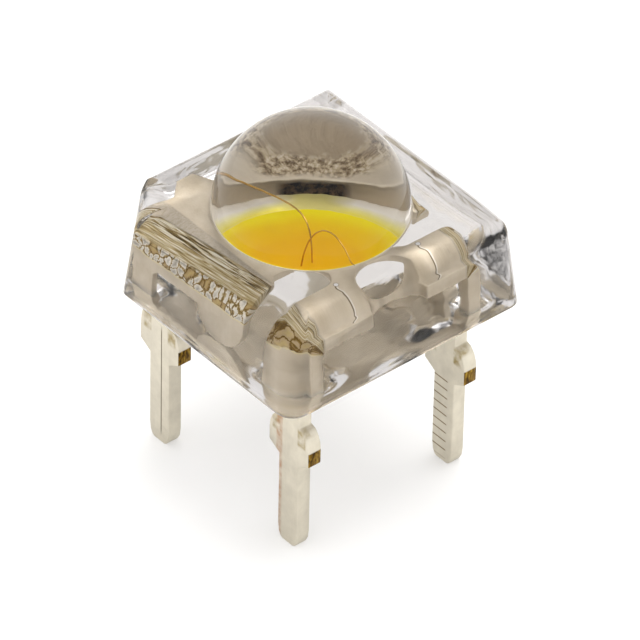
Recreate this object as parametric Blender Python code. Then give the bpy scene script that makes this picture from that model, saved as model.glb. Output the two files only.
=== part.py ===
# Superflux LED. A clear epoxy body with a dome lens is moulded round two plated
# lead frames. One frame carries the reflector cup, its die and its phosphor, the
# other a wide folded flange. Each frame stands on two flat pins.
# Metres, +Z up. The origin is the middle of the square that the pin tips stand on.

import math

import bpy
import bmesh
import numpy as np

mm = 0.001

# Epoxy body and lens
body_base = 7.6 * mm
body_top = 7.04 * mm
body_height = 2.52 * mm
back_round = 0.2 * mm
right_round = 0.4 * mm
front_round = 0.75 * mm
corner_round = 0.5 * mm
corner_cut = 1.1 * mm
cut_round = 0.3 * mm
dome_diameter = 5.0 * mm

# Pins and the sheet they are stamped from
pin_pitch = 5.08 * mm
pin_width = 0.755 * mm
pin_length = 5.24 * mm
sheet = 0.41 * mm
bend_inside = 0.07 * mm
tip_width = 0.4 * mm
tip_length = 0.44 * mm

# Stubs left on the pins where the tie bars were cut
stub_reach = 0.385 * mm
stub_drop = 1.91 * mm
stub_cut = 0.42 * mm
stub_heel = 0.22 * mm
stub_shoulder = 0.61 * mm
outer_shoulder = 0.95 * mm

# Lead frames inside the body
plate_rise = 1.5 * mm
cup_radius = 1.28 * mm
cup_floor = 0.62 * mm
cup_depth = 0.55 * mm
cup_wall = 0.22 * mm
brim = 0.25 * mm
frame_gap = 0.2 * mm
pad_width = 0.47 * mm
notch_radius = 0.85 * mm
notch_shift = 0.15 * mm
neck_half = 0.95 * mm
arm_fillet = 0.4 * mm
edge_reach = 1.05 * mm
flange_reach = 1.32 * mm
flange_step = 2.05 * mm
flange_low = 0.8 * mm
tongue_width = 1.78 * mm
tongue_round = 0.8 * mm
tongue_cover = 0.15 * mm
tie_cover = 0.3 * mm
tie_width = 0.5 * mm
tie_place = 1.3 * mm

# Die, phosphor and bond wires
die_side = 0.34 * mm
die_height = 0.1 * mm
glue_height = 0.02 * mm
glue_margin = 0.02 * mm
fill_gap = 0.01 * mm
wire_radius = 0.014 * mm
ball_radius = 0.042 * mm
wire_side = 0.115 * mm
wire_spread = 0.42 * mm
wire_rise = 0.86 * mm
low_loop = 0.65 * mm
low_knee = 0.17
high_loop = 1.6 * mm
high_knee = 0.62

# Clearances between pieces that touch in the real lamp
cast_gap = 0.02 * mm
seat_gap = 0.005 * mm

# Heights and places worked out from the sizes above
underside = pin_length
top_face = underside + body_height
plate_top = underside + plate_rise
plate_bottom = plate_top - sheet
half_base = body_base / 2
half_top = body_top / 2
half_pitch = pin_pitch / 2
half_pin = pin_width / 2
bend_outside = bend_inside + sheet
fold_start = half_pitch + sheet / 2 - bend_outside
fold_run = (bend_inside + sheet / 2) * math.pi / 2
fold_end = plate_top - bend_outside
ring_radius = cup_radius + brim
gap_radius = ring_radius + frame_gap
cup_bottom = plate_top - cup_depth
flange_edge = underside + flange_low

fold_steps = 6
turn_steps = 64
wire_sides = 8


def clear_scene():
    for item in list(bpy.data.objects):
        bpy.data.objects.remove(item, do_unlink=True)


def material(name, colour, roughness, metallic=0.0, clear=0.0):
    shade = bpy.data.materials.new(name)
    shade.use_nodes = True
    surface = shade.node_tree.nodes["Principled BSDF"]
    surface.inputs["Base Color"].default_value = (*colour, 1.0)
    surface.inputs["Roughness"].default_value = roughness
    surface.inputs["Metallic"].default_value = metallic
    surface.inputs["Transmission Weight"].default_value = clear
    shade.diffuse_color = (*colour, 1.0 - 0.6 * clear)
    return shade


def add_object(name, bm, shade=None):
    """Turn a bmesh into an object with clean outward normals."""
    bmesh.ops.recalc_face_normals(bm, faces=bm.faces)
    if bm.calc_volume(signed=True) < 0:
        bmesh.ops.reverse_faces(bm, faces=bm.faces)
    bmesh.ops.dissolve_limit(bm, angle_limit=1e-3, verts=bm.verts, edges=bm.edges)
    mesh = bpy.data.meshes.new(name)
    bm.to_mesh(mesh)
    bm.free()
    item = bpy.data.objects.new(name, mesh)
    bpy.context.scene.collection.objects.link(item)
    if shade:
        mesh.materials.append(shade)
        mesh.shade_smooth()
        mesh.set_sharp_from_angle(angle=math.radians(30))
    return item


def as_cutter(item):
    item.hide_render = True
    item.display_type = "WIRE"
    return item


def boolean(item, other, operation):
    step = item.modifiers.new(operation.lower() + "_" + other.name, "BOOLEAN")
    step.operation = operation
    step.solver = "EXACT"
    step.object = other


# Outlines: arcs and pin edges as lists of (x, y)


def arc(centre_x, centre_y, radius, start, end, steps):
    angles = np.radians(np.linspace(start, end, steps + 1))
    return [(centre_x + radius * math.cos(a), centre_y + radius * math.sin(a)) for a in angles]


def pin_edge(shoulder):
    """One long edge of a pin, top to tip, as (distance from the pin's middle, height)."""
    stub_top = underside - stub_drop
    stub_low = stub_top - stub_cut
    edge = []
    for angle in np.radians([0, 25, 50, 70, 90]):
        out = half_pin + stub_reach * math.sin(angle)
        edge.append((out, stub_top + shoulder * math.cos(angle)))
    edge.append((half_pin + stub_reach, stub_low))
    edge.append((half_pin, stub_low - stub_heel))
    tip_half = tip_width / 2
    for angle in np.radians([0, 35, 65, 90]):
        out = tip_half + (half_pin - tip_half) * math.cos(angle)
        edge.append((out, tip_length * (1 - math.sin(angle))))
    return edge


def unfolded(height):
    """Distance from the fold's centre plane, in the flat sheet, of a height on the folded leg."""
    return fold_start + fold_run + fold_end - height


def pin_outline(pin_x, first_shoulder, last_shoulder, first_side):
    """A whole pin in the flat sheet: down one edge and back up the other."""
    down = [(pin_x + first_side * d, unfolded(z)) for d, z in pin_edge(first_shoulder)]
    back = [(pin_x - first_side * d, unfolded(z)) for d, z in pin_edge(last_shoulder)]
    return down + back[::-1]


def flange_half():
    """Half of the flange frame's flat outline, from its outer notch round to the cup's gap."""
    notch_x = -(gap_radius + pad_width)
    left = -half_pitch - half_pin
    right_pin = -half_pitch + half_pin
    tie_x = -(half_base + half_top) / 2 + tie_cover
    path = arc(notch_x - notch_radius, 0, notch_radius, 0, 80, 6)
    path += [(tie_x, tie_place - tie_width / 2)]
    path += [(tie_x, tie_place + tie_width / 2)]
    path += [(left, tie_place + tie_width / 2 + left - tie_x)]
    path += pin_outline(-half_pitch, outer_shoulder, stub_shoulder, -1)
    edge = unfolded(flange_edge)
    path += [(right_pin, edge + half_pin / 2), (right_pin + half_pin / 2, edge)]
    corner_y = unfolded(underside + tongue_cover) - tongue_round
    rise = math.degrees(math.asin((edge - corner_y) / tongue_round))
    path += arc(flange_reach - tongue_width + tongue_round, corner_y, tongue_round, 180 - rise, 90, 6)
    path += arc(flange_reach - tongue_round, corner_y, tongue_round, 90, 0, 6)
    path += [(flange_reach, fold_start), (edge_reach, flange_step)]
    start = math.degrees(math.acos(edge_reach / gap_radius))
    path += arc(0, 0, gap_radius, start, 180, 14)
    return path


def cup_half(shift):
    """Half of the cup frame's flat outline, from its outer notch round to the back of the ring."""
    notch_x = ring_radius + pad_width + notch_radius
    right = half_pitch + half_pin
    left = half_pitch - half_pin
    path = arc(notch_x, shift, notch_radius, 180, 90, 8)
    path += [(right, shift + notch_radius + cast_gap)]
    path += pin_outline(half_pitch, stub_shoulder, stub_shoulder, 1)
    path += arc(left - arm_fillet, neck_half + arm_fillet, arm_fillet, 0, -90, 5)
    start = math.degrees(math.asin(neck_half / ring_radius))
    path += arc(0, 0, ring_radius, start, 180, 16)
    return path


def widened(outline, gap):
    """The outline moved outwards by a gap on every side, with its corners kept sharp."""
    here = np.array(outline)
    before = here - np.roll(here, 1, axis=0)
    after = np.roll(here, -1, axis=0) - here
    before /= np.linalg.norm(before, axis=1)[:, None]
    after /= np.linalg.norm(after, axis=1)[:, None]
    turn = before[:, 0] * after[:, 1] - before[:, 1] * after[:, 0]
    spin = np.sign(np.arctan2(turn, (before * after).sum(axis=1)).sum())
    out = spin * np.stack((before[:, 1] + after[:, 1], -before[:, 0] - after[:, 0]), axis=1)
    reach = gap * 2 / (out * out).sum(axis=1)
    return here + out * reach[:, None]


def fold_lines():
    """Where the flat sheet starts each small turn of its bend, counted from the middle."""
    return fold_start + fold_run * np.linspace(0, 1, fold_steps + 1)


def fold(x, along, depth):
    """Place of a point of the flat sheet once both its sides are bent down."""
    turn = np.linspace(0, math.pi / 2, fold_steps + 1)
    radius = bend_outside - depth
    leg = 2 * body_height + pin_length
    runs = [0, *fold_lines(), fold_start + fold_run + leg]
    outs = [0, *(fold_start + radius * np.sin(turn)), fold_start + radius]
    heights = [plate_top - depth, *(fold_end + radius * np.cos(turn)), fold_end - leg]
    out = float(np.interp(abs(along), runs, outs))
    return (x, math.copysign(out, along), float(np.interp(abs(along), runs, heights)))


def folded_sheet(name, upper, lower, gap=0.0, shade=None):
    """Stamp the flat outline, give it the sheet's thickness and bend both sides down.

    With a gap it makes the pocket that this sheet leaves in the epoxy.
    """
    outline = upper + [(x, -y) for x, y in lower[-2:0:-1]]
    if gap:
        outline = widened(outline, gap)
    bm = bmesh.new()
    bm.faces.new([bm.verts.new((x, y, -gap)) for x, y in outline])
    bm.normal_update()
    bmesh.ops.triangulate(bm, faces=bm.faces[:])
    for line in fold_lines():
        for side in (-1, 1):
            parts = bm.verts[:] + bm.edges[:] + bm.faces[:]
            spot = (0, side * line, 0)
            bmesh.ops.bisect_plane(bm, geom=parts, dist=1e-8, plane_co=spot, plane_no=(0, 1, 0))
    far = bmesh.ops.extrude_face_region(bm, geom=bm.faces[:])
    for vert in far["geom"]:
        if isinstance(vert, bmesh.types.BMVert):
            vert.co.z = sheet + gap
    for vert in bm.verts:
        vert.co = fold(*vert.co)
    return add_object(name, bm, shade)


def turned(name, profile, shade=None):
    """Turn a closed (radius, height) profile that starts and ends on the axis."""
    bm = bmesh.new()
    verts = [bm.verts.new((r, 0, z)) for r, z in profile]
    edges = [bm.edges.new(pair) for pair in zip(verts, verts[1:])]
    bmesh.ops.spin(bm, geom=verts + edges, cent=(0, 0, 0), axis=(0, 0, 1),
                   angle=math.tau, steps=turn_steps, use_merge=True)
    bmesh.ops.remove_doubles(bm, verts=bm.verts, dist=1e-7)
    return add_object(name, bm, shade)


# Epoxy body


def body_ring(half):
    """The body's outline at one height: one cut corner, two rounded ones and a sharp one."""
    share = half / half_base
    bend = share * cut_round
    leg = share * corner_cut + bend * math.tan(math.radians(22.5))
    inner = half - share * corner_round
    ring = arc(-half + bend, -half + leg, bend, 180, 225, 3)
    ring += arc(-half + leg, -half + bend, bend, 225, 270, 3)
    ring += arc(inner, -inner, half - inner, -90, 0, 6)
    ring += arc(inner, inner, half - inner, 0, 90, 6)
    ring += [(-half, half)]
    return ring


def edge_radii(ring):
    """The top edge's radius at each point of the outline: wide at the front, less on the right."""
    along = np.roll(ring, -1, axis=0) - np.roll(ring, 1, axis=0)
    along /= np.linalg.norm(along, axis=1)[:, None]
    faces_front = np.maximum(along[:, 0], 0)
    faces_right = np.maximum(along[:, 1], 0)
    return back_round + (front_round - back_round) * faces_front + (right_round - back_round) * faces_right


def make_body(shade):
    base = np.array(body_ring(half_base))
    top = np.array(body_ring(half_top))
    radii = edge_radii(top)
    # Drafted walls rise from the base, and each point of the top edge turns over on its own radius
    levels = [np.column_stack((base, np.full(len(base), underside)))]
    for angle in np.radians([0, 18, 36, 54, 72, 90]):
        heights = top_face - radii * (1 - math.sin(angle))
        draft = (half_base - half_top) * (top_face - heights) / body_height
        outward = draft - radii * (1 - math.cos(angle))
        flat = top + (base - top) * (outward / (half_base - half_top))[:, None]
        levels.append(np.column_stack((flat, heights)))
    bm = bmesh.new()
    rings = [[bm.verts.new(point) for point in level] for level in levels]
    for low, high in zip(rings, rings[1:]):
        for k in range(len(low)):
            n = (k + 1) % len(low)
            bm.faces.new((low[k], low[n], high[n]))
            bm.faces.new((low[k], high[n], high[k]))
    bm.faces.new(rings[0])
    bm.faces.new(rings[-1])
    return add_object("epoxy_body", bm, shade)


def make_dome():
    radius = dome_diameter / 2
    root = top_face - (top_face - plate_top) / 2
    profile = [(0, root), (radius, root)]
    profile += [(radius * math.cos(a), top_face + radius * math.sin(a))
                for a in np.radians(np.linspace(0, 90, 17)[:-1])]
    profile += [(0, top_face + radius)]
    return as_cutter(turned("lens_dome", profile))


# Cup, fill, die and wires


def cup_boss(name, gap=0.0):
    """The drawn outside of the reflector cup, from its floor up into the ring."""
    low = cup_bottom - cup_wall - gap
    rim = ring_radius - brim / 4 + gap
    inside_sheet = plate_bottom + sheet / 4
    shell = [(0, low), (cup_floor + cup_wall + gap / 2, low), (rim, inside_sheet)]
    shell += [(rim, inside_sheet + sheet / 4), (0, inside_sheet + sheet / 4)]
    return as_cutter(turned(name, shell))


def cup_hollow():
    """The inside of the reflector cup, run on above its brim."""
    above = plate_top + sheet
    slope = (cup_radius - cup_floor) / cup_depth
    bowl = [(0, cup_bottom), (cup_floor, cup_bottom), (cup_radius + slope * sheet, above), (0, above)]
    return as_cutter(turned("cup_hollow", bowl))


def block(name, side, low, high, shade=None):
    bm = bmesh.new()
    bmesh.ops.create_cube(bm, size=1.0)
    for vert in bm.verts:
        vert.co = (vert.co.x * side, vert.co.y * side, low + (vert.co.z + 0.5) * (high - low))
    return add_object(name, bm, shade)


def make_fill(shade, die_pocket):
    slope = (cup_radius - cup_floor) / cup_depth
    low = cup_bottom + seat_gap
    high = plate_top - fill_gap
    floor = cup_floor - fill_gap
    mouth = cup_radius - fill_gap * (1 + slope)
    fill = turned("phosphor_fill", [(0, low), (floor, low), (mouth, high), (0, high)], shade)
    boolean(fill, die_pocket, "DIFFERENCE")
    return fill


def wire_ends(side):
    """Plan places of a bond wire's ball on the die and of its foot on the plate."""
    if side < 0:
        pad = gap_radius + pad_width / 4
        foot_y = wire_side + wire_spread
        foot_x = -math.sqrt(pad * pad - foot_y * foot_y)
    else:
        foot_x = ring_radius + pad_width / 4
        foot_y = -wire_side
    return np.array((-die_side / 4, -side * wire_side)), np.array((foot_x, foot_y))


def wire_path(run, side, die_top):
    """A bond wire's route as (distance, height, radius): up from its ball and down to the plate."""
    knee, loop = (low_knee, low_loop) if side < 0 else (high_knee, high_loop)
    low = die_top + seat_gap
    start = np.array((0, low + 2 * ball_radius))
    above = np.array((0, plate_top + wire_rise))
    turn = np.array((run * knee, plate_top + loop))
    end = np.array((run, plate_top + seat_gap + wire_radius))
    points = [(0, low, ball_radius * 0.6)]
    points += [(0, low + ball_radius * 0.5, ball_radius)]
    points += [(0, low + ball_radius, ball_radius * 0.8)]
    for t in np.linspace(0, 1, 22):
        u = 1 - t
        out, height = u ** 3 * start + 3 * u * u * t * above + 3 * u * t * t * turn + t ** 3 * end
        points.append((out, height, wire_radius))
    points.append((run + 4 * wire_radius, end[1], wire_radius))
    return points


def make_wire(name, side, die_top, gap=0.0, shade=None):
    """A bond wire with its melted ball, or with a gap added the channel round it."""
    ball, foot = wire_ends(side)
    length = np.linalg.norm(foot - ball)
    ahead_x, ahead_y = (foot - ball) / length
    path = np.array(wire_path(length, side, die_top))
    course = np.gradient(path[:, :2], axis=0)
    course /= np.linalg.norm(course, axis=1)[:, None]
    bm = bmesh.new()
    rings = []
    for (out, height, radius), (forward, up) in zip(path, course):
        ring = []
        for angle in np.linspace(0, math.tau, wire_sides, endpoint=False) + math.pi / wire_sides:
            lean = (radius + gap) * math.cos(angle)
            aside = (radius + gap) * math.sin(angle)
            reach = out + lean * up
            x = ball[0] + reach * ahead_x - aside * ahead_y
            y = ball[1] + reach * ahead_y + aside * ahead_x
            ring.append(bm.verts.new((x, y, height - lean * forward)))
        rings.append(ring)
    for near, far in zip(rings, rings[1:]):
        for k in range(wire_sides):
            n = (k + 1) % wire_sides
            bm.faces.new((near[k], near[n], far[n], far[k]))
    bm.faces.new(rings[0])
    bm.faces.new(rings[-1])
    wire = add_object(name, bm, shade)
    return wire if shade else as_cutter(wire)


def build():
    clear_scene()
    resin = material("clear_epoxy", (0.93, 0.93, 0.95), 0.03, clear=1.0)
    silver = material("silver_plated_copper", (0.80, 0.77, 0.70), 0.28, metallic=1.0)
    glow = material("phosphor_in_silicone", (0.90, 0.60, 0.04), 0.45)
    crystal = material("die_crystal", (0.30, 0.36, 0.46), 0.15)
    glue = material("die_adhesive", (0.72, 0.72, 0.70), 0.5)
    gold = material("gold_wire", (0.95, 0.70, 0.30), 0.2, metallic=1.0)

    flange = flange_half()
    folded_sheet("flange_frame", flange, flange, shade=silver)
    arms = cup_half(notch_shift), cup_half(-notch_shift)
    cup = folded_sheet("cup_frame", *arms, shade=silver)
    boolean(cup, cup_boss("cup_boss"), "UNION")
    boolean(cup, cup_hollow(), "DIFFERENCE")

    glue_low = cup_bottom + seat_gap
    die_low = glue_low + glue_height + seat_gap
    die_top = die_low + die_height
    block("die_attach", die_side + 2 * glue_margin, glue_low, glue_low + glue_height, glue)
    block("led_die", die_side, die_low, die_top, crystal)
    pocket_side = die_side + 2 * glue_margin + 2 * cast_gap
    die_pocket = as_cutter(block("die_pocket", pocket_side, cup_bottom - cup_wall, die_top + cast_gap))
    fill = make_fill(glow, die_pocket)

    body = make_body(resin)
    boolean(body, make_dome(), "UNION")
    pockets = [folded_sheet("flange_frame_pocket", flange, flange, cast_gap)]
    pockets += [folded_sheet("cup_frame_pocket", *arms, cast_gap), cup_boss("cup_boss_pocket", cast_gap)]
    for pocket in pockets:
        boolean(body, as_cutter(pocket), "DIFFERENCE")
    for side, name in ((-1, "bond_wire_flange"), (1, "bond_wire_cup")):
        make_wire(name, side, die_top, shade=gold)
        channel = make_wire(name + "_channel", side, die_top, cast_gap)
        boolean(fill, channel, "DIFFERENCE")
        boolean(body, channel, "DIFFERENCE")


build()
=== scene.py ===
import math
from functools import partial
import bpy
import bmesh
import numpy as np
from mathutils import Matrix, Vector


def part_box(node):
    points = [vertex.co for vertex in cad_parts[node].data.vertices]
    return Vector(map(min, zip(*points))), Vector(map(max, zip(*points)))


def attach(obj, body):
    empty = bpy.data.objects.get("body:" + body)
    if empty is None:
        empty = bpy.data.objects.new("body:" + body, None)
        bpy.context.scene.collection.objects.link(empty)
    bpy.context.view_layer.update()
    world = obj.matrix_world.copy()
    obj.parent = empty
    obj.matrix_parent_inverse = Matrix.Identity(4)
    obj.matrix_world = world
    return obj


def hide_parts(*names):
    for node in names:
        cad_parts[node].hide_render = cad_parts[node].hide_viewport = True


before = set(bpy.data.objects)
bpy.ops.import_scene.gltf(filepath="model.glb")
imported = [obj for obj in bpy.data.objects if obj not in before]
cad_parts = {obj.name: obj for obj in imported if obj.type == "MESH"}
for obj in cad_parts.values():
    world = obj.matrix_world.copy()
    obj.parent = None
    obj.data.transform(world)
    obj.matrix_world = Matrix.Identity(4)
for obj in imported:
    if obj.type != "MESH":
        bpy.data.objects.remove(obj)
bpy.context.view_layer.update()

mm = 0.001

# Corners of the solids' boxes, read from the frame so that every dressed piece fits its solid
bodyLow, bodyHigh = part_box("epoxy_body")
fillLow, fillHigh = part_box("phosphor_fill")
dieLow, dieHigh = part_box("led_die")
underside = bodyLow[2]
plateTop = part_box("flange_frame")[1][2]


# Helpers

def linear(hexColour):
    # sRGB to linear: up to 0.04045 divide by 12.92, above it ((c + 0.055) / 1.055) to the power 2.4
    value = np.array([int(hexColour[i:i + 2], 16) / 255 for i in (1, 3, 5)])
    value = np.where(value <= 0.04045, value / 12.92, ((value + 0.055) / 1.055) ** 2.4)
    return (*value.tolist(), 1.0)


def addNode(tree, kind, inputs=None, stops=None, **settings):
    # An input is a value or another node's socket, and a stop is a place with a hex colour or a grey level
    node = tree.nodes.new("ShaderNode" + kind)
    for name, value in settings.items():
        setattr(node, name, value)
    for key, value in (inputs or {}).items():
        if isinstance(value, bpy.types.NodeSocket):
            tree.links.new(value, node.inputs[key])
        else:
            node.inputs[key].default_value = value
    if stops:
        ramp = node.color_ramp.elements
        while len(ramp) < len(stops):
            ramp.new(0.5)
        for element, (place, colour) in zip(ramp, stops):
            element.position = place
            element.color = linear(colour) if isinstance(colour, str) else (colour, colour, colour, 1)
    return node


def between(tree, value, low, high, soft):
    # 1 where the value lies from low to high, falling to 0 over a soft border on both sides
    half = (high - low) / 2
    middle = addNode(tree, "Math", {0: value, 1: (low + high) / 2}, operation="SUBTRACT").outputs[0]
    away = addNode(tree, "Math", {0: middle}, operation="ABSOLUTE").outputs[0]
    return addNode(tree, "MapRange", {"Value": away, "From Min": half + soft, "From Max": half}).outputs[0]


def overlap(tree, *areas):
    # The area where all the given areas hold
    shared = areas[0]
    for area in areas[1:]:
        shared = addNode(tree, "Math", {0: shared, 1: area}, operation="MULTIPLY").outputs[0]
    return shared


def within(tree, *spans):
    # The area where each value lies in its own span; a span is (value, low, high, soft)
    return overlap(tree, *[between(tree, *span) for span in spans])


def paint(tree, colour, layers):
    # Lays each (area, colour) over what is there; a colour is a hex value or a socket
    for area, over in layers:
        over = linear(over) if isinstance(over, str) else over
        colour = addNode(tree, "Mix", {0: area, 6: colour, 7: over}, data_type="RGBA").outputs[2]
    return colour


def newMaterial(name):
    # Object coordinates come back in millimetres, so every pattern scale below is a real size
    material = bpy.data.materials.new(name)
    material.use_nodes = True
    tree = material.node_tree
    tree.nodes.clear()
    shader = addNode(tree, "BsdfPrincipled")
    addNode(tree, "OutputMaterial", {"Surface": shader.outputs[0]})
    place = addNode(tree, "TexCoord").outputs["Object"]
    place = addNode(tree, "Mapping", {"Vector": place, "Scale": (1000, 1000, 1000)}).outputs[0]
    return material, tree, shader, place


def arcPoints(centreX, centreY, radius, start, end, steps):
    # Centre plus radius times the cosine and sine of evenly spaced angles, given in degrees
    turn = np.radians(np.linspace(start, end, steps))
    return np.stack((centreX + radius * np.cos(turn), centreY + radius * np.sin(turn)), axis=1)


def gridMesh(name, rows):
    # rows is (rings, points, 3): neighbours on a ring and between rings are joined by quads,
    # and the first and last ring are closed by one point in their middle
    rings, count = rows.shape[:2]
    here = np.arange(count)
    after = (here + 1) % count
    low = np.arange(rings - 1)[:, None] * count
    quads = np.stack((low + here, low + after, low + after + count, low + here + count), axis=-1)
    verts = np.vstack((rows.reshape(-1, 3), rows[0].mean(axis=0), rows[-1].mean(axis=0)))
    last = (rings - 1) * count
    firstFan = np.stack((np.full(count, rings * count), after, here), axis=-1)
    lastFan = np.stack((np.full(count, rings * count + 1), last + here, last + after), axis=-1)
    mesh = bpy.data.meshes.new(name)
    mesh.from_pydata(verts.tolist(), [], quads.reshape(-1, 4).tolist() + firstFan.tolist() + lastFan.tolist())
    work = bmesh.new()
    work.from_mesh(mesh)
    bmesh.ops.recalc_face_normals(work, faces=work.faces)
    if work.calc_volume(signed=True) < 0:
        bmesh.ops.reverse_faces(work, faces=work.faces)
    work.to_mesh(mesh)
    work.free()
    return mesh


def addPiece(name, mesh, material, node, sharpFrom=35):
    # The mesh takes the solid's place; its edges that turn by more than sharpFrom degrees stay crisp
    mesh.materials.clear()
    mesh.materials.append(material)
    mesh.shade_smooth()
    mesh.set_sharp_from_angle(angle=math.radians(sharpFrom))
    piece = bpy.data.objects.new(name, mesh)
    bpy.context.scene.collection.objects.link(piece)
    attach(piece, "root")
    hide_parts(node)


def dressNode(node, material):
    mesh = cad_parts[node].data
    mesh.materials.clear()
    mesh.materials.append(material)


# Epoxy body and lens

epoxy = {
    "cut": 1.1 * mm,            # leg of the cut corner
    "cutRound": 0.3 * mm,
    "frontRound": 0.52 * mm,    # corner radii at the base: at +X -Y, at +X +Y and at -X +Y
    "sideRound": 0.43 * mm,
    "backRound": 0.05 * mm,
    "sideShrink": 4,            # upwards the +X +Y corner's radius shrinks this much faster than the body
    "topHalf": 3.52 * mm,
    "edgeRound": 0.2 * mm,      # top edge on the sides that face -X and +Y
    "wideRound": 0.75 * mm,     # top edge on the side that faces -Y
    "rightRound": 0.4 * mm,     # top edge on the side that faces +X
    "footRound": 0.05 * mm,     # crease where the dome leaves the top face
    "domeRadius": 2.5 * mm,
    "sink": 0.14 * mm,          # how far the top face sags at one corner
    "sinkReach": 1.8 * mm,
    "hollow": 0.16 * mm,        # how far the cast underside is drawn in
    "climb": 0.22 * mm,         # how far the resin has crept down each pin
    "creep": 0.16 * mm,         # and how wide
    "pinPlace": 2.54 * mm,
    "pinHalf": (0.3775 * mm, 0.205 * mm),
    "sidePoints": 30,           # mesh points on a straight side, and rings on each part of the body
    "baseRings": 44,
    "wallRings": 12,
    "edgeRings": 12,
    "faceRings": 13,
    "domeRings": 48,
    # The walls' finish, in millimetres above the underside
    "satinEnd": 1.9,            # clear above this, satin below the next
    "satinFull": 1.5,
    "swirl": (0.15, 3.0),
}


def bodyOutline(half):
    # Straight sides joined by arcs, scaled with half / base half apart from the two rounds at +Y;
    # the points of a side are evenly spaced
    share = half / bodyHigh[0]
    bend = epoxy["cutRound"] * share
    leg = epoxy["cut"] * share + bend * math.tan(math.radians(22.5))
    front = epoxy["frontRound"] * share
    side = epoxy["sideRound"] * (1 - epoxy["sideShrink"] * (1 - share))
    back = epoxy["backRound"]
    arcs = [
        arcPoints(-half + bend, -half + leg, bend, 180, 225, 8),
        arcPoints(-half + leg, -half + bend, bend, 225, 270, 8),
        arcPoints(half - front, -half + front, front, -90, 0, 12),
        arcPoints(half - side, half - side, side, 0, 90, 12),
        arcPoints(-half + back, half - back, back, 90, 180, 6),
    ]
    span = np.linspace(0, 1, epoxy["sidePoints"] + 2)[1:-1, None]
    parts = []
    for here, after in zip(arcs, arcs[1:] + arcs[:1]):
        parts += [here, here[-1] + span * (after[0] - here[-1])]
    return np.vstack(parts)


def buildEpoxy(material):
    baseHalf, topHalf = bodyHigh[0], epoxy["topHalf"]
    dome, foot = epoxy["domeRadius"], epoxy["footRound"]
    top = bodyHigh[2] - dome
    base = bodyOutline(baseHalf)
    outline = bodyOutline(topHalf)
    rows = []

    def ring(flat, height):
        rows.append(np.column_stack((flat, np.broadcast_to(height, len(flat)))))

    # underside: drawn in by 1 minus the sixth power of the way out from the middle,
    # and let down again round each pin by a falling exponential
    for share in np.linspace(0.02, 0.985, epoxy["baseRings"]):
        flat = base * share
        away = np.maximum(np.abs(np.abs(flat) - epoxy["pinPlace"]) - np.array(epoxy["pinHalf"]), 0)
        creep = epoxy["climb"] * np.exp(-np.hypot(away[:, 0], away[:, 1]) / epoxy["creep"])
        ring(flat, underside + epoxy["hollow"] * (1 - share ** 6) - creep)
    # wall: the half width falls evenly with height, and the top edge turns over on a quarter circle
    # whose radius follows the way the side faces
    along = np.roll(outline, -1, axis=0) - np.roll(outline, 1, axis=0)
    along /= np.linalg.norm(along, axis=1)[:, None]
    edge = epoxy["edgeRound"] + (epoxy["wideRound"] - epoxy["edgeRound"]) * np.maximum(along[:, 0], 0)
    edge += (epoxy["rightRound"] - epoxy["edgeRound"]) * np.maximum(along[:, 1], 0)
    slope = (base - outline) / (baseHalf - topHalf)

    def wallRing(height, inset):
        half = baseHalf + (topHalf - baseHalf) * (height - underside) / (top - underside) - inset
        ring(outline + slope * (half - topHalf)[:, None], height)

    for share in np.linspace(0, 1, epoxy["wallRings"]):
        wallRing(underside + share * (top - edge - underside), 0 * edge)
    for turn in np.radians(np.linspace(0, 90, epoxy["edgeRings"] + 1)[1:]):
        wallRing(top - edge * (1 - math.sin(turn)), edge * (1 - math.cos(turn)))
    # top face: each point slides straight from the rim to the foot of the dome
    rim = rows[-1][:, :2]
    around = np.arctan2(rim[:, 1], rim[:, 0])
    circle = np.column_stack((np.cos(around), np.sin(around)))
    for share in np.linspace(0, 1, epoxy["faceRings"] + 1)[1:]:
        ring(rim + (circle * (dome + foot) - rim) * share, top)
    # foot: a small hollow quarter circle, then the dome as radius cos a, height sin a
    for turn in np.radians((30, 55)):
        ring(circle * (dome + foot * (1 - math.sin(turn))), top + foot * (1 - math.cos(turn)))
    for turn in np.linspace(math.asin(foot / dome), math.pi / 2, epoxy["domeRings"] + 1)[:-1]:
        ring(circle * dome * math.cos(turn), top + dome * math.sin(turn))
    shape = np.stack(rows)
    # sag: near the +X +Y corner the top face drops by the square of its nearness to that corner,
    # and the drop fades down the wall with the cube of the height
    far = np.hypot(shape[..., 0] - topHalf, shape[..., 1] - topHalf)
    near = np.clip(1 - far / epoxy["sinkReach"], 0, 1) ** 2
    lift = np.clip((shape[..., 2] - underside) / (top - underside), 0, 1) ** 3
    shape[..., 2] -= epoxy["sink"] * near * lift
    mesh = gridMesh("epoxy_body_moulded", shape)
    addPiece("epoxy_body_moulded", mesh, material, "epoxy_body")


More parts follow.
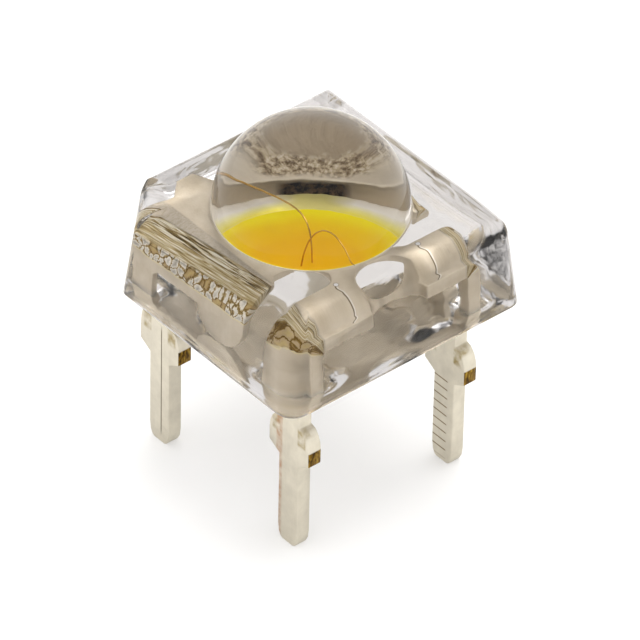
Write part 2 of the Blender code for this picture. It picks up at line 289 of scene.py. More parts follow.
def clearEpoxy():
    # Clear casting epoxy, moulded in a tool that is polished for the lens: IOR 1.52, nearly colourless
    # but tinted grey as painted shade, smooth and faintly waved on top, with satin walls
    material, tree, shader, place = newMaterial("clearEpoxyMoulded")
    add = partial(addNode, tree)
    # painted shade: the grey base colour dims all that is seen through the resin, standing in for the shaded
    # floor beneath the body
    shader.inputs["Base Color"].default_value = linear("#CBC8C7")
    shader.inputs["Transmission Weight"].default_value = 1.0
    shader.inputs["IOR"].default_value = 1.52
    # the lens mirrors little, as it does behind a polarising filter
    shader.inputs["Specular Tint"].default_value = (0.3, 0.3, 0.3, 1)
    waves = add("TexNoise", {"Vector": place, "Scale": 0.9, "Detail": 2.0, "Roughness": 0.5}).outputs["Fac"]
    bump = add("Bump", {"Height": waves, "Distance": 0.02 * mm, "Strength": 0.35}).outputs[0]
    rough = add("MapRange", {"Value": waves, "To Min": 0.0, "To Max": 0.05}).outputs["Result"]
    # the walls came from a duller part of the tool than the lens
    foot = underside / mm
    height = add("SeparateXYZ", {"Vector": place}).outputs["Z"]
    satin = add("MapRange", {"Value": height, "From Min": foot + epoxy["satinEnd"],
                             "From Max": foot + epoxy["satinFull"], "To Max": 1.0}).outputs[0]
    rough = add("Math", {0: satin, 1: 0.07, 2: rough}, operation="MULTIPLY_ADD").outputs[0]
    tree.links.new(rough, shader.inputs["Roughness"])
    # and swirl a little, which bends all that is seen through them
    low, high = epoxy["swirl"]
    swirl = add("TexNoise", {"Vector": place, "Scale": 1.3, "Detail": 0.5, "Distortion": 0.8}).outputs["Fac"]
    swirl = overlap(tree, swirl, satin, between(tree, height, foot + low, foot + high, 0.1))
    bump = add("Bump", {"Height": swirl, "Distance": 0.06 * mm, "Strength": 0.6, "Normal": bump}).outputs[0]
    tree.links.new(bump, shader.inputs["Normal"])
    return material


# Lead frames

leadFrame = {
    "edgeRound": 0.035 * mm,    # rolled edge of the stamped sheet
    "merge": 0.0001,            # corners of the solid's triangles nearer than this, in millimetres, are one
    "flatWithin": 0.6,          # faces that turn by less than this, in degrees, are one
    "sharpFrom": 40,            # edges that turn by more are rolled
    # Places of the metal's patterns, in millimetres, and angles round a bend, in radians
    "foldY": 2.265,             # the bend's axis
    "bend": 0.48,               # and its outer radius
    "lean": 0.07,               # how much the bands climb the bend with every millimetre of X
    "leanStart": 0.13,          # and how high they have climbed at X = 0
    "blisterLow": 0.1,          # blisters lie from low to high, drawn lines above them
    "blisterHigh": 0.59,
    "drawnHigh": 1.17,
    "sharpLines": 0.22,         # width of the sharpest drawn lines, which lie highest
    "highlightLine": (0.07, 0.02),    # the painted highlight line under the blisters, measured down from them
    "strip": (2.3, 2.5),        # the grained strip on the plate, in Y
    "stripTurn": 2.1,           # and the greatest angle it reaches
    "brim": (1.27, 1.53),       # radii of the cup's brim, painted as a bright highlight
    "gap": (1.5, 1.76),         # and of the punched gap round it, painted light, and dark as painted shade on the patch's side
    "patch": (1.76, 2.6),       # and of the greyish brown patch beside it
    "patchAngle": 138.7,        # the patch's direction from the cup's middle, in degrees
    "patchHalf": 0.43,          # half its width
    "patchBorder": (1.88, 2.02),    # depths along that direction: of the mottled border
    "brownFrom": (1.95, 2.1),     # and where the brown starts and where it is full
    "coined": (((2.26, -1.08), (2.8, -1.27)), ((2.3, 1.53), (2.82, 1.44))),   # from ball to groove's end
    "grooveTurn": 13.0,         # the groove's wave: radians per millimetre, and its height
    "grooveWave": 0.05,
    "grooveShadeAndHighlight": ((-0.008, 0.008, "#7E6B4C"), (0.035, 0.05, "#FFFBF0")),         # its dark floor and lit edge, as painted shade and painted highlight
    "ball": ((0.055, 0.065, "#9C8A68"), (-0.1, 0.05, "#FFFFFF")),             # dark ring and bright middle, as painted shade and painted highlight
    "pinAt": 2.54,              # the pins' middles, from the lamp's axis along X
    "stubDrop": 1.91,           # from the resin's underside down to the top of a stub
    "stubHigh": 0.5,
    "stubEnd": (0.75, 0.8),     # distances from a pin's middle along X
    "shoulder": (0.36, 0.6),
    "shoulderRise": (0.1, 0.55),    # heights above a stub's top
    "rungGap": 0.28,            # from one scratched rung to the next
    # Marks on single pins: low, high and soft border along X, Y and Z
    "rungs": ((2.1, 2.66, 0.06), (2.25, 2.36, 0.02), (0.2, 2.8, 0.1)),
    "crease": ((-2.47, -2.45, 0.015), (-2.8, -2.7, 0.02), (0.4, 3.6, 0.2)),
    "rubbed": ((2.1, 2.26, 0.06), (-2.8, -2.7, 0.02), (0.2, 4.4, 0.2)),
}


def stampedCopy(node, name, material):
    # The solid's own shape, its doubles merged and its sharp edges turned over as a stamping's are;
    # it is worked on in millimetres, because these steps are coarse on so small a mesh
    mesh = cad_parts[node].data.copy()
    mesh.name = name
    work = bmesh.new()
    work.from_mesh(mesh)
    bmesh.ops.scale(work, vec=(1000, 1000, 1000), verts=work.verts)
    bmesh.ops.remove_doubles(work, verts=work.verts, dist=leadFrame["merge"])
    work.normal_update()
    flat, sharp = math.radians(leadFrame["flatWithin"]), math.radians(leadFrame["sharpFrom"])
    bmesh.ops.dissolve_limit(work, angle_limit=flat, verts=work.verts, edges=work.edges)
    edges = [edge for edge in work.edges if edge.calc_face_angle(0) > sharp]
    bmesh.ops.bevel(work, geom=edges, offset=leadFrame["edgeRound"] * 1000, offset_type="OFFSET", segments=2,
                    profile=0.5, affect="EDGES", clamp_overlap=True)
    bmesh.ops.scale(work, vec=(0.001, 0.001, 0.001), verts=work.verts)
    work.to_mesh(mesh)
    work.free()
    addPiece(name, mesh, material, node, leadFrame["sharpFrom"])


def foldPattern(tree, place, plate):
    # Bands on the outside of a fold follow the angle round the bend, 90 degrees on the plate and 0 on the leg
    add = partial(addNode, tree)
    x, y, z = add("SeparateXYZ", {"Vector": place}).outputs
    sizeY = add("Math", {0: y}, operation="ABSOLUTE").outputs[0]
    bendY = add("Math", {0: sizeY, 1: leadFrame["foldY"]}, operation="SUBTRACT").outputs[0]
    bendZ = add("Math", {0: z, 1: plateTop / mm - leadFrame["bend"]}, operation="SUBTRACT").outputs[0]
    turn = add("Math", {0: bendZ, 1: bendY}, operation="ARCTAN2").outputs[0]
    # the bands climb the fold slightly from -X to +X
    climb = add("Math", {0: x, 1: -leadFrame["lean"], 2: -leadFrame["leanStart"]}, operation="MULTIPLY_ADD")
    turn = add("Math", {0: turn, 1: climb.outputs[0]}, operation="ADD").outputs[0]
    outside = add("MapRange", {"Value": bendY, "From Min": 0.02, "From Max": 0.08}).outputs[0]
    low, middle, high = leadFrame["blisterLow"], leadFrame["blisterHigh"], leadFrame["drawnHigh"]
    lineLow, lineHigh = [low - drop for drop in leadFrame["highlightLine"]]
    bands = ((low, middle, 0.05), (middle, high, 0.03), (high - leadFrame["sharpLines"], high, 0.03),
             (lineLow, lineHigh, 0.02))
    areas = [overlap(tree, outside, between(tree, turn, *band)) for band in bands]
    blisterArea, drawnArea, sharpArea, highlightLine = areas

    # drawn lines run along the fold, about 1 mm long and 0.02 mm apart
    roll = add("CombineXYZ", {"X": x, "Y": turn}).outputs[0]
    stretched = add("Mapping", {"Vector": roll, "Scale": (0.9, 24, 1)}).outputs[0]
    drawn = add("TexNoise", {"Vector": stretched, "Scale": 1.3, "Detail": 5.0, "Distortion": 0.8})
    drawn = drawn.outputs["Fac"]
    drawnColour = add("ValToRGB", {"Fac": drawn}, stops=((0.36, "#A08A56"), (0.47, "#C4B080"),
                                                       (0.56, "#DFD0A8"), (0.66, "#FFF8E4"))).outputs[0]
    sharpColour = add("ValToRGB", {"Fac": drawn}, stops=((0.38, "#4D3B16"), (0.47, "#AA925E"),
                                                       (0.53, "#EADFBE"), (0.62, "#FFFAE8"))).outputs[0]

    # blisters: raised cells of uneven size, pale inside with thin dark gold borders; some are all gold
    warp = add("TexNoise", {"Vector": roll, "Scale": 5.0, "Detail": 4.0, "Roughness": 0.6}).outputs["Color"]
    bent = paint(tree, roll, ((0.22, warp),))
    spread = add("Mapping", {"Vector": bent, "Scale": (5.6, 4.6, 1)}).outputs[0]
    cell = add("TexVoronoi", {"Vector": spread, "Scale": 1.0}, feature="DISTANCE_TO_EDGE").outputs["Distance"]
    pick = add("TexVoronoi", {"Vector": spread, "Scale": 1.0}).outputs["Color"]
    pick = add("SeparateColor", {"Color": pick}).outputs[0]
    golden = add("MapRange", {"Value": pick, "From Min": 0.78, "From Max": 0.82, "To Max": 0.85}).outputs[0]
    fuzz = add("TexNoise", {"Vector": place, "Scale": 14.0, "Detail": 3.0, "Roughness": 0.7}).outputs["Fac"]
    fuzzy = add("Math", {0: fuzz, 1: 0.16, 2: cell}, operation="MULTIPLY_ADD").outputs[0]
    cellColour = add("ValToRGB", {"Fac": fuzzy}, stops=((0.09, "#7A6028"), (0.14, "#BCA160"),
                                                      (0.2, "#FFFAEC"), (0.5, "#BDB6A8"))).outputs[0]
    goldColour = add("ValToRGB", {"Fac": fuzzy}, stops=((0.1, "#6E5016"), (0.2, "#B08A2C"),
                                                      (0.45, "#D8BC6C"))).outputs[0]
    # on the leg at +X -Y the cells are largely gold
    rightLeg = add("MapRange", {"Value": x, "From Min": 2.0, "From Max": 2.1, "To Max": 0.7}).outputs[0]
    frontLeg = add("MapRange", {"Value": y, "From Min": 0.1, "From Max": -0.1}).outputs[0]
    goldLeg = overlap(tree, rightLeg, frontLeg)
    cellColour = paint(tree, cellColour, ((golden, goldColour), (goldLeg, goldColour)))

    # the plate's last strip before the fold is pressed to a fine grey grain
    strip = within(tree, (turn, high, leadFrame["stripTurn"], 0.05), (sizeY, *leadFrame["strip"], 0.05))
    grit = add("TexNoise", {"Vector": place, "Scale": 22.0, "Detail": 3.0, "Roughness": 0.7}).outputs["Fac"]
    gritColour = add("ValToRGB", {"Fac": grit}, stops=((0.35, "#BDB19C"), (0.6, "#D2C8B6"))).outputs[0]

    # the pale line under the blisters is a painted highlight along the fold
    colour = paint(tree, plate, ((strip, gritColour), (drawnArea, drawnColour), (sharpArea, sharpColour),
                                 (blisterArea, cellColour), (highlightLine, "#F3E6BC")))
    ridges, domes = overlap(tree, drawnArea, drawn), overlap(tree, blisterArea, cell)
    relief = add("Math", {0: ridges, 1: domes}, operation="ADD").outputs[0]
    return colour, relief


def cupPattern(tree, place, colour):
    # Round the cup: a greyish brown patch with a mottled border, the brim, painted as a bright highlight
    # and shaded on the patch's side, and the punched gap, painted light, and dark as painted shade on the
    # patch's side
    add = partial(addNode, tree)
    x, y, z = add("SeparateXYZ", {"Vector": place}).outputs
    flat = add("CombineXYZ", {"X": x, "Y": y}).outputs[0]
    radius = add("VectorMath", {0: flat}, operation="LENGTH").outputs["Value"]
    # toward is the cosine of the angle from the patch's direction; depth and side are lengths along
    # and across that direction
    away = math.radians(leadFrame["patchAngle"])
    unit = add("VectorMath", {0: flat}, operation="NORMALIZE").outputs[0]
    toward = add("VectorMath", {0: unit, 1: (math.cos(away), math.sin(away), 0)}, operation="DOT_PRODUCT")
    toward = toward.outputs["Value"]
    turned = add("Mapping", {"Vector": flat, "Rotation": (0, 0, -away)}).outputs[0]
    turned = add("SeparateXYZ", {"Vector": turned}).outputs
    wobble = add("TexNoise", {"Vector": place, "Scale": 6.0, "Detail": 3.0}).outputs["Fac"]
    depth = add("Math", {0: wobble, 1: 0.16, 2: turned["X"]}, operation="MULTIPLY_ADD").outputs[0]
    side = turned["Y"]

    half = leadFrame["patchHalf"]
    patch = within(tree, (radius, *leadFrame["patch"], 0.02), (side, -half, half, 0.12))
    start, full = leadFrame["brownFrom"]
    brownFill = add("MapRange", {"Value": depth, "From Min": start, "From Max": full, "To Max": 0.8}).outputs[0]
    brownFill = overlap(tree, patch, brownFill)
    border = overlap(tree, patch, between(tree, depth, *leadFrame["patchBorder"], 0.08))
    speck = add("TexNoise", {"Vector": place, "Scale": 20.0, "Detail": 4.0, "Roughness": 0.7}).outputs["Fac"]
    speckColour = add("ValToRGB", {"Fac": speck}, stops=((0.36, "#6E5B43"), (0.46, "#AA967A"),
                                                       (0.54, "#DCCBA8"), (0.64, "#F2E8D4"))).outputs[0]

    top = plateTop / mm
    above = add("MapRange", {"Value": z, "From Min": top - 0.2, "From Max": top - 0.15}).outputs[0]
    under = add("MapRange", {"Value": z, "From Min": top - 0.03, "From Max": top - 0.06}).outputs[0]
    brim = overlap(tree, above, between(tree, radius, *leadFrame["brim"], 0.02))
    # painted shade: the brim is duller on the patch's side
    brimShade = add("MapRange", {"Value": toward, "From Min": 0.95, "From Max": 0.995}).outputs[0]
    brimShade = overlap(tree, brim, brimShade)
    # the gap is painted lighter than the plate, standing in for light; on the patch's side it is painted dark
    # as shade
    gap = overlap(tree, under, between(tree, radius, *leadFrame["gap"], 0.02))
    gapShade = add("MapRange", {"Value": toward, "From Min": 0.977, "From Max": 0.988}).outputs[0]
    gapShade = overlap(tree, gap, gapShade)
    fuzz = add("TexNoise", {"Vector": place, "Scale": 14.0, "Detail": 3.0, "Roughness": 0.7}).outputs["Fac"]
    gapShadeColour = add("ValToRGB", {"Fac": fuzz}, stops=((0.4, "#2E2112"), (0.62, "#9A7E55"))).outputs[0]
    # the brim is a painted highlight, and takes the phosphor's yellow where they meet
    outward = add("MapRange", {"Value": radius, "From Min": 1.26, "From Max": 1.5}).outputs[0]
    brimHighlightColour = add("ValToRGB", {"Fac": outward}, stops=((0.0, "#E9DA3C"), (0.35, "#EDE69C"),
                                                        (0.65, "#FAF5E8"), (1.0, "#F4ECDC"))).outputs[0]
    return paint(tree, colour, ((brownFill, "#AC997C"), (border, speckColour), (gap, "#F6EAD2"),
                                (brim, brimHighlightColour), (brimShade, "#CFC57A"), (gapShade, gapShadeColour)))


def coinedMarks(tree, place, colour):
    # On both arms of the cup frame a waved groove runs out from a small ball, both drawn with painted shade
    # and highlights
    add = partial(addNode, tree)
    x, y, z = add("SeparateXYZ", {"Vector": place}).outputs
    flat = add("CombineXYZ", {"X": x, "Y": y}).outputs[0]
    top = plateTop / mm
    above = add("MapRange", {"Value": z, "From Min": top - 0.2, "From Max": top - 0.15}).outputs[0]
    for start, end in leadFrame["coined"]:
        run = np.subtract(end, start)
        length = np.hypot(*run)
        run = run / length
        local = add("VectorMath", {0: flat, 1: (*start, 0)}, operation="SUBTRACT").outputs[0]
        along = add("VectorMath", {0: local, 1: (*run, 0)}, operation="DOT_PRODUCT").outputs["Value"]
        normal = (-run[1], run[0], 0)
        across = add("VectorMath", {0: local, 1: normal}, operation="DOT_PRODUCT").outputs["Value"]
        wave = add("Math", {0: along, 1: leadFrame["grooveTurn"]}, operation="MULTIPLY").outputs[0]
        wave = add("Math", {0: wave}, operation="SINE").outputs[0]
        wave = add("Math", {0: wave, 1: leadFrame["grooveWave"]}, operation="MULTIPLY").outputs[0]
        across = add("Math", {0: wave, 1: across}, operation="ADD").outputs[0]
        near = add("VectorMath", {0: local}, operation="LENGTH").outputs["Value"]
        onLine = overlap(tree, above, between(tree, along, 0.0, length, 0.05))
        # the groove's dark floor and bright edge, and the ball's dark ring and bright middle, are painted
        # shade and painted highlights
        grooveShadeAndHighlight = [(overlap(tree, onLine, between(tree, across, low, high, 0.02)), tone)
                  for low, high, tone in leadFrame["grooveShadeAndHighlight"]]
        ball = [(overlap(tree, above, between(tree, near, low, high, 0.02)), tone)
                for low, high, tone in leadFrame["ball"]]
        colour = paint(tree, colour, grooveShadeAndHighlight + ball)
    return colour


def pinMarks(tree, place, colour):
    # Sheared copper on the stub ends, worn shoulders above them, and the press marks of single pins
    add = partial(addNode, tree)
    axes = add("SeparateXYZ", {"Vector": place}).outputs
    x, z = axes["X"], axes["Z"]
    reach = add("Math", {0: x}, operation="ABSOLUTE").outputs[0]
    reach = add("Math", {0: reach, 1: leadFrame["pinAt"]}, operation="SUBTRACT").outputs[0]
    reach = add("Math", {0: reach}, operation="ABSOLUTE").outputs[0]
    stubTop = underside / mm - leadFrame["stubDrop"]
    stubLow = stubTop - leadFrame["stubHigh"]
    sheared = within(tree, (reach, *leadFrame["stubEnd"], 0.01), (z, stubLow, stubTop, 0.03))
    streak = add("Mapping", {"Vector": place, "Scale": (4, 7, 2.5)}).outputs[0]
    shear = add("TexNoise", {"Vector": streak, "Scale": 2.0, "Detail": 4.0}).outputs["Fac"]
    copper = add("ValToRGB", {"Fac": shear}, stops=((0.35, "#3E2C08"), (0.5, "#75571A"),
                                                  (0.66, "#A08434"))).outputs[0]
    worn = add("TexNoise", {"Vector": place, "Scale": 4.0, "Detail": 3.0}).outputs["Fac"]
    low, high = [stubTop + rise for rise in leadFrame["shoulderRise"]]
    shoulder = within(tree, (reach, *leadFrame["shoulder"], 0.06), (z, low, high, 0.08))
    wear = add("MapRange", {"Value": worn, "From Min": 0.35, "From Max": 0.75}).outputs[0]
    shoulder = overlap(tree, shoulder, wear)
    # rungs: faint copper scratches across one pin
    rung = add("Math", {0: z, 1: 1 / leadFrame["rungGap"]}, operation="MULTIPLY").outputs[0]
    rung = add("Math", {0: rung}, operation="FRACT").outputs[0]
    rungs, crease, rubbed = [within(tree, *[(axis, *span) for axis, span in zip(axes, leadFrame[mark])])
                             for mark in ("rungs", "crease", "rubbed")]
    rungs = overlap(tree, between(tree, rung, 0.42, 0.5, 0.06), rungs)
    wear = add("MapRange", {"Value": worn, "From Min": 0.3, "From Max": 0.8}).outputs[0]
    rubbed = overlap(tree, rubbed, wear)
    return paint(tree, colour, ((shoulder, "#8E7A42"), (rungs, "#7C6847"), (crease, "#6A5F4C"),
                                (rubbed, "#A9764E"), (sheared, copper)))


def silverPlate():
    # Matt silver over copper sheet, rolled, stamped and folded: warm ivory metal with fine grain, stretched
    # and blistered to the copper along the folds, and raw brown copper where the tie bars were sheared off
    material, tree, shader, place = newMaterial("silverPlatedCopperStamped")
    add = partial(addNode, tree)
    # plating: clouded ivory in the open air, warmer where the resin wets it,
    # and painted lighter there to make up for the light the resin's grey tint takes
    cloud = add("TexNoise", {"Vector": place, "Scale": 2.2, "Detail": 4.0, "Roughness": 0.6}).outputs["Fac"]
    dry = add("ValToRGB", {"Fac": cloud}, stops=((0.3, "#C9C2B2"), (0.7, "#D8D1C0"))).outputs[0]
    wetAndLit = add("ValToRGB", {"Fac": cloud}, stops=((0.3, "#E0D3BA"), (0.7, "#EEE3CE"))).outputs[0]
    foot = underside / mm
    height = add("SeparateXYZ", {"Vector": place}).outputs["Z"]
    inside = add("MapRange", {"Value": height, "From Min": foot - 0.05, "From Max": foot + 0.1}).outputs[0]
    colour = paint(tree, dry, ((inside, wetAndLit),))
    colour, relief = foldPattern(tree, place, colour)
    colour = cupPattern(tree, place, colour)
    colour = coinedMarks(tree, place, colour)
    colour = pinMarks(tree, place, colour)
    tree.links.new(colour, shader.inputs["Base Color"])
    shader.inputs["Metallic"].default_value = 1.0

    # surface: rolled grain along the pins, 0.06 mm wide and 0.4 mm long, and lines and blisters that
    # stand proud on the folds
    grained = add("Mapping", {"Vector": place, "Scale": (9, 9, 1.2)}).outputs[0]
    grain = add("TexNoise", {"Vector": grained, "Scale": 2.0, "Detail": 3.0}).outputs["Fac"]
    rough = add("MapRange", {"Value": grain, "To Min": 0.38, "To Max": 0.58}).outputs[0]
    tree.links.new(rough, shader.inputs["Roughness"])
    fine = add("Math", {0: grain, 1: cloud}, operation="ADD").outputs[0]
    skin = add("Bump", {"Height": fine, "Distance": 0.01 * mm, "Strength": 0.5}).outputs[0]
    deep = add("Bump", {"Height": relief, "Distance": 0.05 * mm, "Strength": 0.6, "Normal": skin}).outputs[0]
    tree.links.new(deep, shader.inputs["Normal"])
    return material


# Phosphor, die and wires

phosphor = {
    "sag": 0.05 * mm,           # how much lower the silicone's surface lies in the middle than at the brim
    "cone": 0.66 * mm,          # how much narrower than the brim the floor is, in radius
    "rings": 24,
    "points": 96,
}


def buildPhosphor(material):
    # A shallow bowl of silicone: the surface lies lower than the brim by the sag times the cosine of a
    # quarter turn shared out over the radius, the side is the cup's own cone, the floor is flat
    brim, top, floor = fillHigh[0], fillHigh[2], fillLow[2]
    share = np.linspace(0.02, 1, phosphor["rings"])
    down = np.array((0.5, 1.0))
    radius = np.concatenate((brim * share, brim - phosphor["cone"] * down))[:, None]
    height = np.concatenate((top - phosphor["sag"] * np.cos(share * math.pi / 2), top + (floor - top) * down))
    around = np.linspace(0, 2 * math.pi, phosphor["points"], endpoint=False)
    rows = np.stack((radius * np.cos(around), radius * np.sin(around), height[:, None] + 0 * around), axis=-1)
    mesh = gridMesh("phosphor_fill_cured", rows)
    addPiece("phosphor_fill_cured", mesh, material, "phosphor_fill")


def phosphorSilicone():
    # Phosphor powder in cured silicone: a dense orange-yellow that thins to lemon at the brim, faintly grainy
    material, tree, shader, place = newMaterial("phosphorSiliconeCured")
    add = partial(addNode, tree)
    flat = add("VectorMath", {0: place, 1: (1, 1, 0)}, operation="MULTIPLY").outputs[0]
    radius = add("VectorMath", {0: flat}, operation="LENGTH").outputs["Value"]
    cloud = add("TexNoise", {"Vector": place, "Scale": 1.5, "Detail": 3.0}).outputs["Fac"]
    drift = add("MapRange", {"Value": cloud, "To Min": -0.25, "To Max": 0.25}).outputs[0]
    mixed = add("Math", {0: radius, 1: drift}, operation="ADD").outputs[0]
    scaled = add("MapRange", {"Value": mixed, "From Min": 0.0, "From Max": 1.3}).outputs[0]
    colour = add("ValToRGB", {"Fac": scaled}, stops=((0.0, "#E4AA00"), (0.55, "#E6B000"), (0.78, "#EEC400"),
                                                   (1.0, "#FBEA10"))).outputs[0]
    tree.links.new(colour, shader.inputs["Base Color"])
    shader.inputs["Roughness"].default_value = 0.5
    shader.inputs["IOR"].default_value = 1.41
    # the resin on it has nearly the same index, so hardly anything is mirrored there
    shader.inputs["Specular IOR Level"].default_value = 0.05
    grit = add("TexNoise", {"Vector": place, "Scale": 30.0, "Detail": 2.0}).outputs["Fac"]
    bump = add("Bump", {"Height": grit, "Distance": 0.004 * mm, "Strength": 0.4}).outputs[0]
    tree.links.new(bump, shader.inputs["Normal"])
    return material


wire = {
    "radius": 0.012 * mm,
    "ball": 0.04 * mm,
    "ballFlat": 0.95,           # the ball's height as a share of its width
    "steps": 60,                # rings along the wire and on the ball, and points round them
    "ballSteps": 12,
    "sides": 14,
    "lift": 0.86 * mm,          # height over the plate of the point that draws both wires up from the die
    "aside": 0.115 * mm,        # where they stand on the die, to each side of its middle
    "clear": 0.006 * mm,        # between the foot and the plate
    "feet": {-1: (-1.768 * mm, 0.535 * mm), 1: (1.647 * mm, -0.115 * mm)},
    "loop": {-1: (0.17, 0.65 * mm), 1: (0.62, 1.6 * mm)},   # where the loop leans over, and how high
}


def buildWire(node, name, side, material):
    # A tube of circles along a cubic curve of four points: up from the ball, over the loop, down to the foot;
    # the ball's rings have the cosine of their latitude as radius and its sine as height
    ball = wire["ball"]
    # both wires stand a quarter of the die's width from its middle
    root = np.array(((dieLow[0] - dieHigh[0]) / 4, -side * wire["aside"]))
    foot = np.array(wire["feet"][side])
    length = np.linalg.norm(foot - root)
    ahead = (foot - root) / length
    knee, loop = wire["loop"][side]
    start = np.array((0, dieHigh[2] + 2 * ball))
    above = np.array((0, plateTop + wire["lift"]))
    over = np.array((length * knee, plateTop + loop))
    end = np.array((length, plateTop + wire["radius"] + wire["clear"]))
    t = np.linspace(0, 1, wire["steps"])[:, None]
    route = (1 - t) ** 3 * start + 3 * t * (1 - t) ** 2 * above + 3 * t ** 2 * (1 - t) * over + t ** 3 * end
    turn = np.radians(np.linspace(-80, 65, wire["ballSteps"]))
    bulb = np.column_stack((0 * turn, dieHigh[2] + ball * (1 + wire["ballFlat"] * np.sin(turn))))
    route = np.vstack((bulb, route))
    radius = np.concatenate((ball * np.cos(turn), np.full(wire["steps"], wire["radius"])))
    course = np.gradient(route, axis=0)
    course /= np.linalg.norm(course, axis=1)[:, None]
    around = np.linspace(0, 2 * math.pi, wire["sides"], endpoint=False)
    lean = radius[:, None] * np.cos(around)
    aside = radius[:, None] * np.sin(around)
    forth = route[:, :1] + lean * course[:, 1:]
    rows = np.stack((root[0] + forth * ahead[0] - aside * ahead[1],
                     root[1] + forth * ahead[1] + aside * ahead[0],
                     route[:, 1:] - lean * course[:, :1]), axis=-1)
    addPiece(name, gridMesh(name, rows), material, node)


def goldWire():
    # Drawn gold wire: bright warm metal, slightly uneven
    material, tree, shader, place = newMaterial("goldWireDrawn")
    noise = addNode(tree, "TexNoise", {"Vector": place, "Scale": 8.0, "Detail": 2.0}).outputs["Fac"]
    colour = addNode(tree, "ValToRGB", {"Fac": noise}, stops=((0.3, "#B58A34"), (0.7, "#D3AC55"))).outputs[0]
    tree.links.new(colour, shader.inputs["Base Color"])
    shader.inputs["Metallic"].default_value = 1.0
    shader.inputs["Roughness"].default_value = 0.2
    return material


def dieCrystal():
    # Polished semiconductor crystal with a fine row of contact fingers
    material, tree, shader, place = newMaterial("dieCrystalPolished")
    waves = addNode(tree, "TexWave", {"Vector": place, "Scale": 3.0}, bands_direction="X").outputs["Fac"]
    colour = addNode(tree, "ValToRGB", {"Fac": waves}, stops=((0.8, "#4A5C78"), (0.95, "#B9A36A"))).outputs[0]
    tree.links.new(colour, shader.inputs["Base Color"])
    shader.inputs["Roughness"].default_value = 0.12
    shader.inputs["IOR"].default_value = 1.77
    return material


def dieAdhesive():
    # Cured clear-grey adhesive, slightly uneven
    material, tree, shader, place = newMaterial("dieAdhesiveCured")
    noise = addNode(tree, "TexNoise", {"Vector": place, "Scale": 12.0, "Detail": 3.0}).outputs["Fac"]
    colour = addNode(tree, "ValToRGB", {"Fac": noise}, stops=((0.3, "#A9A9A4"), (0.7, "#D2D2CC"))).outputs[0]
    tree.links.new(colour, shader.inputs["Base Color"])
    shader.inputs["Roughness"].default_value = 0.5
    return material


buildEpoxy(clearEpoxy())
print("epoxy body and lens built")
silver = silverPlate()
stampedCopy("flange_frame", "flange_frame_stamped", silver)
stampedCopy("cup_frame", "cup_frame_stamped", silver)
print("lead frames dressed")
buildPhosphor(phosphorSilicone())
gold = goldWire()
buildWire("bond_wire_flange", "bond_wire_flange_drawn", -1, gold)
buildWire("bond_wire_cup", "bond_wire_cup_drawn", 1, gold)
dressNode("led_die", dieCrystal())
dressNode("die_attach", dieAdhesive())
print("phosphor, die and wires dressed")


# Floor, light and camera

studio = {
    "floor": ("#BAB9B7", "#BFBEBD"),
    "floorGlow": 0.38,         # the board is opal and lit from below, so shadows on it are faint
    "floorHalf": 0.6,
    "world": 1.4,
    # height of the direction and brightness there: a dimmer band lies between horizon and top
    "tent": ((0.0, 1.0), (0.25, 1.0), (0.6, 0.78), (0.8, 1.0), (1.0, 1.0)),
    "topPower": 0.2,           # watts; it lights the floor and the resin but isn't mirrored in the metal
    "topAzimuth": 200,
    "topElevation": 75,
    "topDistance": 160 * mm,
    "topSize": 120 * mm,
    "azimuth": 49.22,          # camera's direction, degrees
    "elevation": 39.29,
    "roll": -1.28,
    "distance": 186.05 * mm,
    "aimRight": 0.2841 * mm,   # where the camera aims, from the middle of the body's underside
    "aimUp": -0.8366 * mm,
    "lens": 419.3,
}


def direction(azimuth, elevation):
    # Unit vector from the lamp: azimuth in degrees round Z from -Y towards +X, elevation above the floor
    turn, rise = math.radians(azimuth), math.radians(elevation)
    return Vector((math.sin(turn) * math.cos(rise), -math.cos(turn) * math.cos(rise), math.sin(rise)))


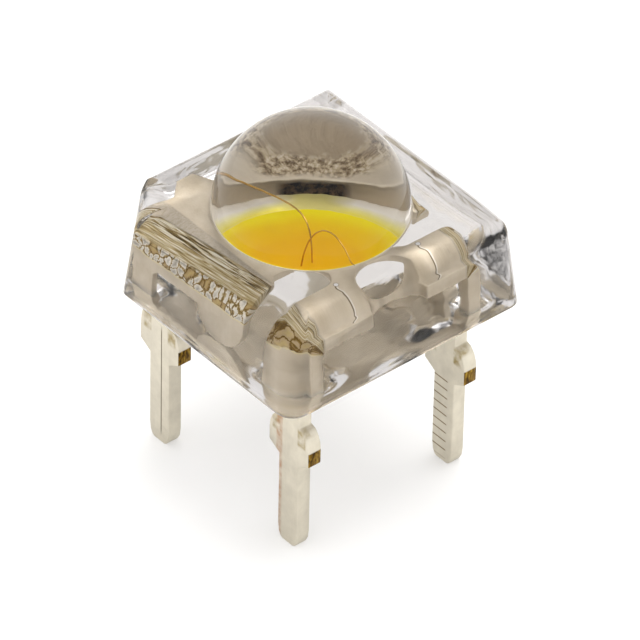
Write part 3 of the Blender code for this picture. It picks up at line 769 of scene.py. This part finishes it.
def buildFloor():
    # Opal acrylic board lit from below: even pale white with a very faint mottle
    material, tree, shader, place = newMaterial("opalAcrylicMatt")
    low, high = studio["floor"]
    noise = addNode(tree, "TexNoise", {"Vector": place, "Scale": 0.02, "Detail": 2.0}).outputs["Fac"]
    colour = addNode(tree, "ValToRGB", {"Fac": noise}, stops=((0.3, low), (0.7, high))).outputs[0]
    tree.links.new(colour, shader.inputs["Base Color"])
    shader.inputs["Emission Color"].default_value = linear("#FFFFFF")
    shader.inputs["Emission Strength"].default_value = studio["floorGlow"]
    shader.inputs["Roughness"].default_value = 0.9
    half = studio["floorHalf"]
    corners = [(-half, -half, 0), (half, -half, 0), (half, half, 0), (-half, half, 0)]
    mesh = bpy.data.meshes.new("pale_floor")
    mesh.from_pydata(corners, [], [(0, 1, 2, 3)])
    mesh.materials.append(material)
    floor = bpy.data.objects.new("pale_floor", mesh)
    bpy.context.scene.collection.objects.link(floor)


def buildWorld():
    # A white tent: the brightness follows the height of the direction
    world = bpy.data.worlds.new("studio")
    bpy.context.scene.world = world
    world.use_nodes = True
    tree = world.node_tree
    way = addNode(tree, "TexCoord").outputs["Generated"]
    height = addNode(tree, "SeparateXYZ", {"Vector": way}).outputs["Z"]
    glow = addNode(tree, "ValToRGB", {"Fac": height}, stops=studio["tent"]).outputs[0]
    tree.links.new(glow, tree.nodes["Background"].inputs[0])
    tree.nodes["Background"].inputs[1].default_value = studio["world"]


def buildSoftLight():
    lamp = bpy.data.lights.new("top_softbox", "AREA")
    lamp.shape = "SQUARE"
    lamp.size = studio["topSize"]
    lamp.energy = studio["topPower"]
    way = direction(studio["topAzimuth"], studio["topElevation"])
    item = bpy.data.objects.new("top_softbox", lamp)
    item.location = way * studio["topDistance"] + Vector((0, 0, underside))
    item.rotation_euler = way.to_track_quat("Z", "Y").to_euler()
    item.visible_glossy = False
    bpy.context.scene.collection.objects.link(item)


def buildCamera():
    turn, roll = math.radians(studio["azimuth"]), math.radians(studio["roll"])
    right = Vector((math.cos(turn), math.sin(turn), 0))
    back = direction(studio["azimuth"], studio["elevation"])
    up = back.cross(right)
    camera = bpy.data.cameras.new("studio_camera")
    camera.lens = studio["lens"]
    camera.sensor_width = 36
    camera.clip_start = 0.01
    camera.clip_end = 10
    item = bpy.data.objects.new("studio_camera", camera)
    spot = Vector((0, 0, underside)) + right * studio["aimRight"] + up * studio["aimUp"]
    spot += back * studio["distance"]
    across = right * math.cos(roll) - up * math.sin(roll)
    above = right * math.sin(roll) + up * math.cos(roll)
    item.matrix_world = Matrix.Translation(spot) @ Matrix((across, above, back)).transposed().to_4x4()
    bpy.context.scene.collection.objects.link(item)
    bpy.context.scene.camera = item


buildFloor()
buildWorld()
buildSoftLight()
buildCamera()
bpy.context.scene.view_settings.view_transform = "Standard"
print("floor, light and camera set")
